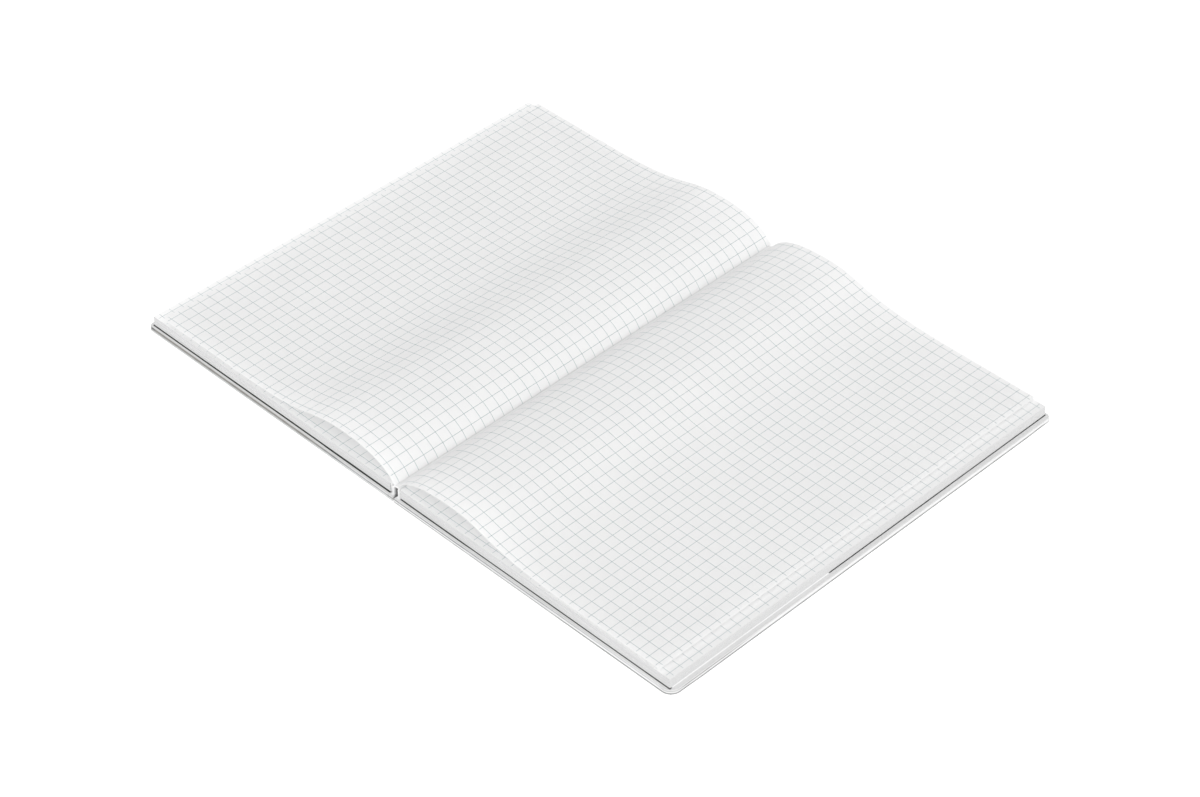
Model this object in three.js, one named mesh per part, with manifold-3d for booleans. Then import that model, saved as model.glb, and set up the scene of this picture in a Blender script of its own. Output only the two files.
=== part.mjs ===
import * as THREE from "three";
import { mergeVertices } from "three/addons/utils/BufferGeometryUtils.js";
import Module from "manifold-3d";

// A hardcover notebook lying open at its middle, in millimetres.
// X runs across the spread, Y along the spine from tail to head and Z up; the covers lie on Z = 0.
// Each half is built for the right side, and the front half is the same half mirrored in X.

// Page block
const pageWidth = 142.9; // from the back of a fold to the fore-edge
const pageLength = 210;
const sectionCount = 6; // folded sections in each half
const sectionThickness = 0.71; // eight leaves
const blockBack = 2.4; // from the middle of the spine to the backs of the sections
const endpaperThickness = 0.2;

// Cover
const clothThickness = 0.3;
const boardThickness = 1.4;
const foreEdgeOverhang = 2.1; // cover beyond the fore-edge of the pages
const tailOverhang = 1.5; // cover beyond the tail and the head of the pages
const cornerRadius = 4.5;
const arcSteps = 8; // straight runs in a round corner or fold
const edgeRounding = 0.5;
const roundingSteps = 3;
const turnInWidth = 15; // cloth folded over onto the inside of the board
const pastedownReach = 0.2; // pastedown beyond the three trimmed edges of the pages
const boardClearance = 0.1; // between the edge of the board and the cloth round it
const jointGap = 0.2; // from the backs of the sections to the inner edge of the cover

// Spine
const mullThickness = 0.2;
const mullShortfall = 10; // the gauze stops this far from the tail and the head
const glueLine = 0.1; // between neighbouring layers of the spine
const spineClothThickness = 0.9; // doubled where it stands against a half
const spineFoldThickness = 0.3;
const spineSlack = 1; // spare length of spine cloth when the book is shut
const creaseGap = 0.3; // between the spine cloth and the joint of the cover

// Sewing
const stationCount = 5;
const stationSpacing = pageLength / stationCount;
const kerfWidth = 1.2; // sawn slot across the folds, for the thread
const kerfDepth = 0.9;
const threadDiameter = 0.3;
const threadSteps = 5; // straight runs of thread for each section it passes
const stitchReach = 0.12; // how far the thread weaves to each side as it climbs

// The two leaves that curve up out of the gutter
const leafThickness = 0.12;
const closedGap = 0.3; // between the two halves when the book is shut, for the two leaves
const foldLift = 0.25; // from the top of the folded spine cloth to the middle of a leaf's root
const leafSteps = 16; // straight runs along each of the two curves of a leaf
const rightLeaf = {
  name: "right_leaf",
  side: 1,
  root: 0.9,
  lift: 1.29, // from the page block to the flat part of the leaf
  crestX: 30.8,
  crestHeight: 8.15, // above the flat part
  risePull: [6.6, 8.1], // handle of the rising curve, from the root across and above the flat part
  crestPull: 7.5,
  fallPull: 20.4,
  landPull: 50,
  landX: 98.3,
  foreEdgeInset: 5.3, // drawn back from the fore-edge of the block by the curve
};
const leftLeaf = {
  name: "left_leaf",
  side: -1,
  root: 0.6,
  lift: 2.04,
  crestX: 29,
  crestHeight: 7.8,
  risePull: [3.8, 4.7],
  crestPull: 14.7,
  fallPull: 22,
  landPull: 46,
  landX: 93.5,
  foreEdgeInset: 6.1,
};

// Sizes that follow from those above
const foreEdge = blockBack + pageWidth;
const coverInner = blockBack + jointGap;
const coverOuter = foreEdge + foreEdgeOverhang;
const coverHalfLength = pageLength / 2 + tailOverhang;
const boardBottom = clothThickness;
const boardTop = boardBottom + boardThickness;
const turnInTop = boardTop + clothThickness;
const coverTop = turnInTop + endpaperThickness;
const sectionsBottom = coverTop + endpaperThickness;
const blockTop = sectionLevel(sectionCount);
const mullFace = blockBack - glueLine;
const spineClothFace = mullFace - mullThickness - glueLine;
const hollowHalfWidth = spineClothFace - spineClothThickness;
const foldInnerRadius = spineClothFace - spineFoldThickness;
const foldMiddleRadius = spineClothFace - spineFoldThickness / 2;
const shutSpine = 2 * (blockTop - coverTop) + closedGap;
const spineLegBottom = coverTop + creaseGap;
const spineLegTop = coverTop + (shutSpine + spineSlack - Math.PI * foldMiddleRadius) / 2;
const spineFoldTop = spineLegTop + spineClothFace;
const leafRootHeight = spineFoldTop + foldLift;

const paper = new THREE.MeshStandardMaterial({ color: 0xecedec, roughness: 0.9, metalness: 0 });
const darkPaper = new THREE.MeshStandardMaterial({ color: 0x303132, roughness: 0.9, metalness: 0 });
const cloth = new THREE.MeshStandardMaterial({ color: 0xe6e6e5, roughness: 0.7, metalness: 0 });
const greyboard = new THREE.MeshStandardMaterial({ color: 0xb3aea4, roughness: 0.95, metalness: 0 });
const gauze = new THREE.MeshStandardMaterial({ color: 0xe4dfd2, roughness: 0.95, metalness: 0 });
const linenThread = new THREE.MeshStandardMaterial({ color: 0xf1efe8, roughness: 0.8, metalness: 0 });

const wasm = await Module();
wasm.setup();

// Height of the underside of a section, counted from the bottom of a half.
function sectionLevel(count) {
  return sectionsBottom + count * sectionThickness;
}

// A closed geometry as a solid that can be joined and cut.
function toSolid(geometry) {
  const bare = geometry.clone().deleteAttribute("normal").deleteAttribute("uv");
  const merged = mergeVertices(bare);
  return new wasm.Manifold(
    new wasm.Mesh({
      numProp: 3,
      vertProperties: merged.attributes.position.array,
      triVerts: new Uint32Array(merged.index.array),
    }),
  );
}

function toGeometry(solid) {
  const mesh = solid.getMesh();
  const geometry = new THREE.BufferGeometry();
  geometry.setAttribute("position", new THREE.BufferAttribute(mesh.vertProperties, 3));
  geometry.setIndex(new THREE.BufferAttribute(mesh.triVerts, 1));
  const faceted = geometry.toNonIndexed();
  faceted.computeVertexNormals();
  return faceted;
}

// A box between two limits on each axis.
function block([x0, x1], [y0, y1], [z0, z1]) {
  const box = new THREE.BoxGeometry(x1 - x0, y1 - y0, z1 - z0);
  return box.translate((x0 + x1) / 2, (y0 + y1) / 2, (z0 + z1) / 2);
}

// An outline in X and Z run along Y, centred on Y = 0.
function alongY(outline, length) {
  const run = new THREE.ExtrudeGeometry(outline, {
    depth: length,
    bevelEnabled: false,
    curveSegments: arcSteps,
  });
  return run.translate(0, 0, -length / 2).rotateX(Math.PI / 2);
}

// A plate whose two corners away from the spine are round, and whose edges may be too.
function coverPlate(inner, outer, halfLength, radius, [bottom, top], rounding = 0) {
  const outline = new THREE.Shape();
  outline.moveTo(inner, -halfLength);
  outline.lineTo(outer - radius, -halfLength);
  outline.absarc(outer - radius, -halfLength + radius, radius, -Math.PI / 2, 0);
  outline.lineTo(outer, halfLength - radius);
  outline.absarc(outer - radius, halfLength - radius, radius, 0, Math.PI / 2);
  outline.lineTo(inner, halfLength);
  outline.closePath();
  const plate = new THREE.ExtrudeGeometry(outline, {
    depth: top - bottom - 2 * rounding,
    bevelEnabled: rounding > 0,
    bevelSize: rounding,
    bevelThickness: rounding,
    bevelOffset: -rounding,
    bevelSegments: roundingSteps,
    curveSegments: arcSteps,
  });
  return plate.translate(0, 0, bottom + rounding);
}

// Part of the inside of the cover that the turned-in cloth leaves open, made smaller by an inset.
function turnInWindow(inset, heights) {
  const halfLength = coverHalfLength - turnInWidth - inset;
  return block(
    [coverInner + clothThickness + inset, coverOuter - turnInWidth - inset],
    [-halfLength, halfLength],
    heights,
  );
}

// Cloth wrapped round the board: outer face, edges and turn-ins, in one piece.
function coverCloth() {
  const wrapped = coverPlate(
    coverInner,
    coverOuter,
    coverHalfLength,
    cornerRadius,
    [0, turnInTop],
    edgeRounding,
  );
  const boardSpace = coverPlate(
    coverInner + clothThickness,
    coverOuter - clothThickness,
    coverHalfLength - clothThickness,
    cornerRadius - clothThickness,
    [boardBottom, boardTop],
  );
  const window = turnInWindow(0, [boardTop - clothThickness, turnInTop + clothThickness]);
  return toGeometry(toSolid(wrapped).subtract(toSolid(boardSpace)).subtract(toSolid(window)));
}

function board() {
  const inset = clothThickness + boardClearance;
  return coverPlate(
    coverInner + inset,
    coverOuter - inset,
    coverHalfLength - inset,
    cornerRadius - inset,
    [boardBottom, boardTop],
  );
}

// Endpaper glued to the inside of the cover: it steps down off the turn-ins onto the board.
function pastedown() {
  const halfLength = pageLength / 2 + pastedownReach;
  const rim = block(
    [coverInner + clothThickness, foreEdge + pastedownReach],
    [-halfLength, halfLength],
    [turnInTop, coverTop],
  );
  const pocket = turnInWindow(endpaperThickness, [boardTop, coverTop]);
  const dip = turnInWindow(2 * endpaperThickness, [
    boardTop + endpaperThickness,
    coverTop + endpaperThickness,
  ]);
  return toGeometry(toSolid(rim).add(toSolid(pocket)).subtract(toSolid(dip)));
}

function flyleaf() {
  const halfLength = pageLength / 2;
  return block([blockBack, foreEdge], [-halfLength, halfLength], [coverTop, sectionsBottom]);
}

function stationY(index) {
  return (index - (stationCount - 1) / 2) * stationSpacing;
}

// A folded section: round along its fold, square where it is trimmed, with a kerf at each station.
function section(index) {
  const bottom = sectionLevel(index);
  const top = sectionLevel(index + 1);
  const radius = (top - bottom) / 2;
  const outline = new THREE.Shape();
  outline.moveTo(blockBack + radius, bottom);
  outline.lineTo(foreEdge, bottom);
  outline.lineTo(foreEdge, top);
  outline.lineTo(blockBack + radius, top);
  outline.absarc(blockBack + radius, bottom + radius, radius, Math.PI / 2, (3 * Math.PI) / 2);
  let solid = toSolid(alongY(outline, pageLength));
  for (let station = 0; station < stationCount; station++) {
    const middle = stationY(station);
    const kerf = block(
      [blockBack - kerfDepth, blockBack + kerfDepth],
      [middle - kerfWidth / 2, middle + kerfWidth / 2],
      [bottom - sectionThickness, top + sectionThickness],
    );
    solid = solid.subtract(toSolid(kerf));
  }
  return toGeometry(solid);
}

// The thread climbs the backs of the sections in its kerf and weaves once round each section.
class StitchedThread extends THREE.Curve {
  constructor(station) {
    super();
    this.middle = stationY(station);
  }

  getPoint(share, target = new THREE.Vector3()) {
    const length = blockTop - sectionsBottom - 2 * threadDiameter;
    const turn = 2 * Math.PI * sectionCount * share;
    return target.set(
      blockBack + kerfDepth / 2 + stitchReach * Math.cos(turn),
      this.middle + stitchReach * Math.sin(turn),
      sectionsBottom + threadDiameter + length * share,
    );
  }
}

function sewingThread(station) {
  const outline = new THREE.Shape().absarc(0, 0, threadDiameter / 2, 0, 2 * Math.PI);
  return new THREE.ExtrudeGeometry(outline, {
    steps: threadSteps * sectionCount,
    curveSegments: 3,
    extrudePath: new StitchedThread(station),
  });
}

// Gauze glued across the backs of the sections.
function mull() {
  const halfLength = pageLength / 2 - mullShortfall;
  return block(
    [mullFace - mullThickness, mullFace],
    [-halfLength, halfLength],
    [sectionsBottom, blockTop],
  );
}

// Spine cloth standing against the gauze of one half.
function spineLeg() {
  return block(
    [hollowHalfWidth, spineClothFace],
    [-coverHalfLength, coverHalfLength],
    [spineLegBottom, spineLegTop],
  );
}

// Spine cloth bent over between the two halves.
function spineFold() {
  const outline = new THREE.Shape();
  outline.absarc(0, spineLegTop, spineClothFace, 0, Math.PI, false);
  outline.absarc(0, spineLegTop, foldInnerRadius, Math.PI, 0, true);
  outline.closePath();
  return alongY(outline, 2 * coverHalfLength);
}

// Middle line of a curved leaf, from its root in the gutter to its fore-edge.
function leafLine(leaf) {
  const flat = blockTop + leaf.lift;
  const crest = flat + leaf.crestHeight;
  const at = (x, z) => new THREE.Vector2(x, z);
  const rise = new THREE.CubicBezierCurve(
    at(leaf.root, leafRootHeight),
    at(leaf.root + leaf.risePull[0], flat + leaf.risePull[1]),
    at(leaf.crestX - leaf.crestPull, crest),
    at(leaf.crestX, crest),
  );
  const fall = new THREE.CubicBezierCurve(
    at(leaf.crestX, crest),
    at(leaf.crestX + leaf.fallPull, crest),
    at(leaf.landX - leaf.landPull, flat),
    at(leaf.landX, flat),
  );
  const end = at(foreEdge - leaf.foreEdgeInset, flat);
  return [...rise.getPoints(leafSteps), ...fall.getPoints(leafSteps).slice(1), end];
}

// A leaf is its middle line thickened evenly to both sides and run along Y.
function curvedLeaf(leaf) {
  const line = leafLine(leaf);
  const offset = (point, index, share) => {
    const before = line[Math.max(index - 1, 0)];
    const after = line[Math.min(index + 1, line.length - 1)];
    const along = after.clone().sub(before).normalize();
    const shift = share * leafThickness;
    return new THREE.Vector2(point.x - along.y * shift, point.y + along.x * shift);
  };
  const upper = line.map((point, index) => offset(point, index, 0.5));
  const lower = line.map((point, index) => offset(point, index, -0.5));
  return alongY(new THREE.Shape([...lower, ...upper.reverse()]), pageLength);
}

function piece(name, geometry, material) {
  const mesh = new THREE.Mesh(geometry, material.clone());
  mesh.name = name;
  return mesh;
}

// One half of the book, on the right of the spine.
function half(prefix) {
  const group = new THREE.Group();
  group.add(piece(`${prefix}_board`, board(), greyboard));
  group.add(piece(`${prefix}_cover_cloth`, coverCloth(), cloth));
  group.add(piece(`${prefix}_pastedown`, pastedown(), darkPaper));
  group.add(piece(`${prefix}_flyleaf`, flyleaf(), darkPaper));
  for (let index = 0; index < sectionCount; index++) {
    group.add(piece(`${prefix}_section_${index + 1}`, section(index), paper));
  }
  for (let station = 0; station < stationCount; station++) {
    group.add(piece(`${prefix}_sewing_thread_${station + 1}`, sewingThread(station), linenThread));
  }
  group.add(piece(`${prefix}_mull`, mull(), gauze));
  group.add(piece(`${prefix}_spine_cloth`, spineLeg(), cloth));
  return group;
}

const notebook = new THREE.Group();
const backHalf = half("back");
const frontHalf = half("front");
frontHalf.scale.x = -1;
notebook.add(backHalf, frontHalf);
notebook.add(piece("spine_fold", spineFold(), cloth));
for (const leaf of [rightLeaf, leftLeaf]) {
  const mesh = piece(leaf.name, curvedLeaf(leaf), paper);
  mesh.scale.x = leaf.side;
  notebook.add(mesh);
}

export default notebook;
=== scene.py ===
import math
import random

import bpy
import bmesh
import numpy as np
from mathutils import Matrix, Vector


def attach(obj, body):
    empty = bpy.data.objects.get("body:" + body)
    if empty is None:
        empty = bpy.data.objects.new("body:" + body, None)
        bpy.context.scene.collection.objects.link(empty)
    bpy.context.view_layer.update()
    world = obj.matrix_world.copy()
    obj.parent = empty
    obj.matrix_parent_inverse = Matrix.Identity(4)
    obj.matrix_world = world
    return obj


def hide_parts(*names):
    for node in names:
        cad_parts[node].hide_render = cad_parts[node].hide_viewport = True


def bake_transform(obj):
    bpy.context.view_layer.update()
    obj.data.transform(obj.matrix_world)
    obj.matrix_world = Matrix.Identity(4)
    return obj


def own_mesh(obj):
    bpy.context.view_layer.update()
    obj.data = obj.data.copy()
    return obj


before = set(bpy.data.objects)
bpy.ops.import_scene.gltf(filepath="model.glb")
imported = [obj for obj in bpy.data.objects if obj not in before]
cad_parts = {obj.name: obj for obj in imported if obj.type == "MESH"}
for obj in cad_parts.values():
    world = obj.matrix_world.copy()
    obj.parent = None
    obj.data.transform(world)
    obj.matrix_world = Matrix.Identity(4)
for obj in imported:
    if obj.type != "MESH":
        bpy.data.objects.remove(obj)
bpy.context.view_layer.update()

MM = 0.001

# Sizes of the notebook in millimetres, as in the frame.
PAGE_LENGTH = 210.0
BLOCK_BACK = 2.4
FORE_EDGE = 145.3
SECTIONS = 6
BLOCK_TOP = 6.66
LEAVES_PER_SECTION = 8
LEAF_SHARE = 0.93  # of the height that a leaf may take, the rest is air
STATIONS = 5
STATION_SPACING = PAGE_LENGTH / STATIONS
KERF_WIDTH = 1.2
KERF_DEPTH = 0.9
FOLD_RADIUS = 0.36  # a short way past the folds: the last point of each sheet before its fold, and the reach of the painted shade at the tail
FOLD_MARGIN = 0.35  # how far the glue has crept in past the folds
EDGE_ROW = 1.5  # from a trimmed edge to the row of points that its unevenness leaves in place
COVER_INNER = 2.6
COVER_OUTER = 147.4
COVER_HALF_LENGTH = 106.5
COVER_TOP = 2.0
CLOTH = 0.3
TURN_IN = 15.0
CORNER_RADIUS = 2.2
NEAR_CORNER_RADIUS = 4.5  # of the corner nearest the camera
SPINE_HALF_LENGTH = 105.2
SHADE_FADE_DEPTH = 3.5  # painted shade at the tail of the spine fades out from this far in
JOINT_INNER = 0.45
LEG_INNER = 1.1
LEG_OUTER = 2.0
LEG_BOTTOM = 2.5
LEG_TOP = 4.405
HOLLOW_MIDDLE = 4.0  # height of the middle of the hollow between the spine legs
LEAF_THICKNESS = 0.11
ENDPAPER = {"back": 0.135, "front": 0.17}  # each of the two in a half
PASTEDOWN_REACH = {"back": 0.29, "front": 0.40}  # how far it stands out past the pages

# The near-black painted shade of the endpaper stops this far short of the back half's fore-edge, between
# these places along Y.
BARE_DEPTH = 0.9
BARE_FROM, BARE_TO = -104.35, -20.5

# The two curved leaves. Pitches are those of the ruling across the page, on the flat and on the curve.
RIGHT_LEAF = {
    "name": "right_leaf",
    "side": 1,
    "root": (0.9, 6.655),
    "flat": 7.95,
    "crest": (30.8, 8.15),
    "rise_pull": (6.6, 8.1),
    "crest_pull": 7.5,
    "fall_pull": 20.4,
    "land_pull": 50.0,
    "land": 98.3,
    "edge": 140.0,
    "first_line": 2.5,
    "flat_pitch": 4.905,
    "curved_pitch": 4.805,
    "flat_lines": 8,
}
LEFT_LEAF = {
    "name": "left_leaf",
    "side": -1,
    "root": (0.6, 6.655),
    "flat": 8.70,
    "crest": (29.0, 7.8),
    "rise_pull": (3.8, 4.7),
    "crest_pull": 14.7,
    "fall_pull": 22.0,
    "land_pull": 46.0,
    "land": 93.5,
    "edge": 139.2,
    "first_line": 2.42,
    "flat_pitch": 5.083,
    "curved_pitch": 5.006,
    "flat_lines": 8,
}
RULE = 5.0  # size of a ruled square in ruling units
RULE_MARGIN = 0.65  # bare paper between a trimmed edge and the ends of the lines
RULE_END = 140.0  # lines along the page stop here, counted from the fore-edge
LINE_WIDTH = 0.13

# Light
SKY = 0.80
SUN = 1.15
SUN_ANGLE = 0.5
SUN_FROM = (0.60, -0.60, 0.53)
FLOOR_SHOWN = 1.4  # brightness of the floor for the camera alone
FLOOR_REACH, FLOOR_Z = 3000, -0.02  # how far it runs each way, and its height

# Camera, as it was fitted to the ruling in the photo
PHOTO_WIDTH = 1200
SENSOR = 36.0
FOCAL_PIXELS = 3268.28
CAMERA_ANGLES = (45.39676, 40.56222, -0.41422)  # azimuth, elevation and roll in degrees
CAMERA_TARGET = (12.739, -8.189, -0.5)
CAMERA_DISTANCE = 1289.813


# ---- mesh building ----
def new_object(name, vertices, faces, uvs=None, material=None, sharp=60):
    """A smooth-shaded object from vertices and one UV pair for each, both in millimetres."""
    mesh = bpy.data.meshes.new(name)
    mesh.from_pydata((np.asarray(vertices, float) * MM).tolist(), [], faces)
    if uvs is not None:
        layer = mesh.uv_layers.new(name="UVMap")
        loops = np.empty(len(mesh.loops), np.int32)
        mesh.loops.foreach_get("vertex_index", loops)
        layer.data.foreach_set("uv", (np.asarray(uvs, float) * MM)[loops].astype(np.float32).ravel())
    mesh.validate()
    mesh.shade_smooth()
    mesh.set_sharp_from_angle(angle=math.radians(sharp))
    obj = bpy.data.objects.new(name, mesh)
    bpy.context.scene.collection.objects.link(obj)
    if material is not None:
        mesh.materials.append(material)
    return obj


def normals_of(line):
    """Unit normals of a line in X and Z."""
    along = np.gradient(line, axis=0)
    along /= np.linalg.norm(along, axis=1)[:, None]
    return np.stack([-along[:, 1], along[:, 0]], 1)


def ribbon_faces(count, row_count):
    """Faces of a closed strip whose rows each hold the points of its upper side, then of its lower side."""

    def at(i, j, side):
        return (2 * j + side) * count + i

    faces = []
    last = count - 1
    for j in range(row_count - 1):
        for i in range(last):
            faces.append((at(i, j, 0), at(i + 1, j, 0), at(i + 1, j + 1, 0), at(i, j + 1, 0)))
            faces.append((at(i, j, 1), at(i, j + 1, 1), at(i + 1, j + 1, 1), at(i + 1, j, 1)))
        faces.append((at(0, j, 0), at(0, j + 1, 0), at(0, j + 1, 1), at(0, j, 1)))
        faces.append((at(last, j, 0), at(last, j, 1), at(last, j + 1, 1), at(last, j + 1, 0)))
    end = row_count - 1
    for i in range(last):
        faces.append((at(i, 0, 0), at(i, 0, 1), at(i + 1, 0, 1), at(i + 1, 0, 0)))
        faces.append((at(i, end, 0), at(i + 1, end, 0), at(i + 1, end, 1), at(i, end, 1)))
    return faces


def ribbon(line, thickness, rows, us, shift):
    """A closed strip of even thickness round a centre line in X and Z, run along Y through the rows.

    shift(i, j) moves point i of row j by (dx, dy, dz). Returns vertices, faces and UVs.
    """
    line = np.asarray(line, float)
    normal = normals_of(line)
    vertices, uvs = [], []
    for j, y in enumerate(rows):
        for sign in (0.5, -0.5):
            for i in range(len(line)):
                x, z = line[i] + normal[i] * thickness * sign
                dx, dy, dz = shift(i, j)
                vertices.append((x + dx, y + dy, z + dz))
                uvs.append((us[i], y + dy))
    return vertices, ribbon_faces(len(line), len(rows)), uvs


def join_parts(parts):
    """Several (vertices, faces, uvs) as one."""
    vertices, faces, uvs = [], [], []
    for part_vertices, part_faces, part_uvs in parts:
        base = len(vertices)
        vertices.extend(part_vertices)
        faces.extend(tuple(base + v for v in face) for face in part_faces)
        uvs.extend(part_uvs)
    return vertices, faces, uvs


def mirrored(vertices, faces):
    """The same solid on the other side of the spine."""
    return [(-x, y, z) for x, y, z in vertices], [tuple(reversed(face)) for face in faces]


def wobble(rng, size, length, waves=4):
    """A smooth random curve over the given length that stays within about the given size."""
    terms = []
    for k in range(waves):
        strength = rng.uniform(0.4, 1.0) / (k + 1)
        phase = rng.uniform(0, 2 * math.pi)
        terms.append((strength, phase, 2 * math.pi * (k + rng.uniform(0.3, 1.0)) / length))
    return lambda t: size * sum(a * math.sin(f * t + p) for a, p, f in terms)


def smooth(share):
    """0 to 1, eased at both ends."""
    share = min(1.0, max(0.0, share))
    return share * share * (3 - 2 * share)


def bezier(points, steps):
    """Points at even shares of a cubic curve."""
    t = np.linspace(0, 1, steps + 1)[:, None]
    p0, p1, p2, p3 = (np.array(p, float) for p in points)
    return (1 - t) ** 3 * p0 + 3 * (1 - t) ** 2 * t * p1 + 3 * (1 - t) * t**2 * p2 + t**3 * p3


# ---- materials ----
class Nodes:
    """Short way to write the nodes of a material or of the world."""

    def __init__(self, tree, material=None):
        self.tree = tree
        self.material = material
        tree.nodes.clear()

    def feed(self, socket, value):
        if isinstance(value, bpy.types.NodeSocket):
            self.tree.links.new(value, socket)
        else:
            socket.default_value = value

    def add(self, kind, inputs=None, **settings):
        node = self.tree.nodes.new("ShaderNode" + kind)
        for key, value in settings.items():
            setattr(node, key, value)
        for key, value in (inputs or {}).items():
            self.feed(node.inputs[key], value)
        return node

    def place(self):
        return self.add("TexCoord").outputs["Object"]

    def uv(self):
        return self.add("SeparateXYZ", {0: self.add("UVMap", uv_map="UVMap").outputs[0]})

    def math(self, operation, a, b=0.0, c=0.0):
        return self.add("Math", {0: a, 1: b, 2: c}, operation=operation).outputs[0]

    def range(self, value, low, high, to_low=0.0, to_high=1.0, smooth=False):
        node = self.add(
            "MapRange",
            {0: value, 1: low, 2: high, 3: to_low, 4: to_high},
            interpolation_type="SMOOTHSTEP" if smooth else "LINEAR",
        )
        return node.outputs[0]

    def noise(self, vector, scale, detail=2.0, roughness=0.5):
        node = self.add(
            "TexNoise", {"Vector": vector, "Scale": scale, "Detail": detail, "Roughness": roughness}
        )
        return node.outputs["Fac"]

    def mix(self, factor, a, b):
        node = self.add("Mix", data_type="RGBA")
        for index, value in ((0, factor), (6, a), (7, b)):
            self.feed(node.inputs[index], value)
        return node.outputs[2]

    def scaled(self, vector, x, y, z):
        return self.add("Mapping", {"Vector": vector, "Scale": (x, y, z)}).outputs[0]

    def finish(self, color, roughness, height, distance, strength, see_through=0.0, **fixed):
        shader = self.add("BsdfPrincipled", {"Base Color": color, "Roughness": roughness, **fixed})
        bump = self.add("Bump", {"Height": height, "Strength": strength, "Distance": distance})
        self.tree.links.new(bump.outputs[0], shader.inputs["Normal"])
        surface = shader.outputs[0]
        if see_through:
            through = self.add("BsdfTranslucent", {"Color": color})
            surface = self.add("MixShader", {0: see_through, 1: surface, 2: through.outputs[0]}).outputs[0]
        output = self.add("OutputMaterial")
        self.tree.links.new(surface, output.inputs[0])
        return self.material


def material_nodes(name):
    material = bpy.data.materials.new(name)
    material.use_nodes = True
    return Nodes(material.node_tree, material)


def grey(value, cool=0.0):
    return (value - cool, value, value + cool * 0.3, 1.0)


def fibre_height(n, where):
    """Fine felt of a paper surface."""
    fine = n.noise(where, 2600.0, 3.0, 0.6)
    flakes = n.noise(n.scaled(where, 1.0, 0.35, 1.0), 900.0, 2.0, 0.5)
    return n.math("ADD", fine, flakes)


def ruled_paper(name, color, ink, see_through=0.0, plain_tone=None):
    """White paper ruled in squares by its UV map, in metres: U from the fore-edge, V along the page.

    see_through is the share of the light that passes each face of the sheet. plain_tone, where given, is
    the paper's own tone, kept along the back half's fore-edge; elsewhere color paints the paper lighter, as
    painted light against the shade under the curved leaves.
    """
    n = material_nodes(name)
    where = n.place()
    uv = n.uv()
    across = n.math("DIVIDE", uv.outputs[0], MM)
    along = n.math("DIVIDE", uv.outputs[1], MM)
    half = RULE / 2
    press = n.noise(where, 260.0, 2.0, 0.5)
    width = n.range(press, 0.3, 0.7, LINE_WIDTH * 0.46, LINE_WIDTH * 0.54)
    outer = n.math("ADD", width, 0.02)

    def line(coordinate):
        away = n.math("SUBTRACT", half, n.math("PINGPONG", coordinate, half))
        return n.math("SUBTRACT", 1.0, n.range(away, width, outer, smooth=True))

    end = PAGE_LENGTH / 2 - RULE_MARGIN
    within_ends = n.math("LESS_THAN", n.math("ABSOLUTE", along), end)
    before_gutter = n.math("LESS_THAN", across, RULE_END)
    off_fore_edge = n.math("GREATER_THAN", across, RULE_MARGIN)
    crosswise = n.math("MULTIPLY", n.math("MULTIPLY", line(across), within_ends), before_gutter)
    lengthwise = n.math("MULTIPLY", line(along), off_fore_edge)
    ruling = n.math("MAXIMUM", crosswise, lengthwise)
    density = n.range(n.noise(where, 1500.0, 3.0, 0.7), 0.3, 0.7, 0.86, 1.0)
    ruling = n.math("MULTIPLY", ruling, density)
    cloudy = n.noise(where, 55.0, 3.0, 0.55)
    base = n.mix(n.range(cloudy, 0.3, 0.7), grey(color * 0.992, 0.001), grey(color * 1.006, 0.0))
    # Painted light: the page is lighter than its own tone, save for this strip along the back half's
    # fore-edge.
    if plain_tone is not None:
        back_half = n.math("GREATER_THAN", n.add("SeparateXYZ", {0: where}).outputs[0], 0.0)
        plain_strip = n.math("MULTIPLY", back_half, n.range(across, 2.4, 5.2, 1.0, 0.0, smooth=True))
        base = n.mix(plain_strip, base, grey(plain_tone))
    tint = n.mix(ruling, base, ink)
    roughness = n.range(n.noise(where, 700.0, 2.0, 0.5), 0.3, 0.7, 0.82, 0.92)
    return n.finish(tint, roughness, fibre_height(n, where), 0.000012, 0.5, see_through)


def edge_paper(name, color):
    """Trimmed edges of stacked leaves: fine streaks that run along each leaf."""
    n = material_nodes(name)
    where = n.place()
    streaks = n.noise(n.scaled(where, 0.05, 0.05, 12.0), 1400.0, 3.0, 0.6)
    cloudy = n.noise(where, 70.0, 3.0, 0.6)
    tone = n.math("ADD", n.math("MULTIPLY", streaks, 0.7), n.math("MULTIPLY", cloudy, 0.3))
    base = n.mix(n.range(tone, 0.35, 0.65), grey(color * 0.95, 0.002), grey(color * 1.02, 0.0))
    roughness = n.range(cloudy, 0.3, 0.7, 0.84, 0.95)
    return n.finish(base, roughness, streaks, 0.00003, 0.6)


def shadow_line_paper(name):
    """Endpaper painted near black as painted shade, the shadow line between the pages and the cover, with a
    light bare strip along part of the back half's fore-edge where that painted shade stops.
    """
    n = material_nodes(name)
    where = n.place()
    cloudy = n.noise(where, 90.0, 3.0, 0.6)
    fibres = n.noise(where, 1800.0, 3.0, 0.7)
    # Painted shade: the near black stands in for the shadow line between the pages and the cover.
    base = n.mix(n.range(cloudy, 0.3, 0.7), (0.016, 0.0165, 0.018, 1), (0.030, 0.031, 0.033, 1))
    base = n.mix(n.range(fibres, 0.66, 0.8, 0.0, 0.35), base, (0.09, 0.09, 0.095, 1))
    place = n.add("SeparateXYZ", {0: where})
    bare = n.math("GREATER_THAN", place.outputs[0], (FORE_EDGE - BARE_DEPTH) * MM)
    for edge, sign in ((BARE_FROM, 1), (BARE_TO, -1)):
        past = n.math("MULTIPLY", n.math("SUBTRACT", place.outputs[1], edge * MM), sign)
        bare = n.math("MULTIPLY", bare, n.range(past, -0.0002, 0.0006))
    base = n.mix(bare, base, grey(0.95))
    roughness = n.range(fibres, 0.3, 0.7, 0.72, 0.88)
    return n.finish(base, roughness, fibre_height(n, where), 0.00002, 0.6)


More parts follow.
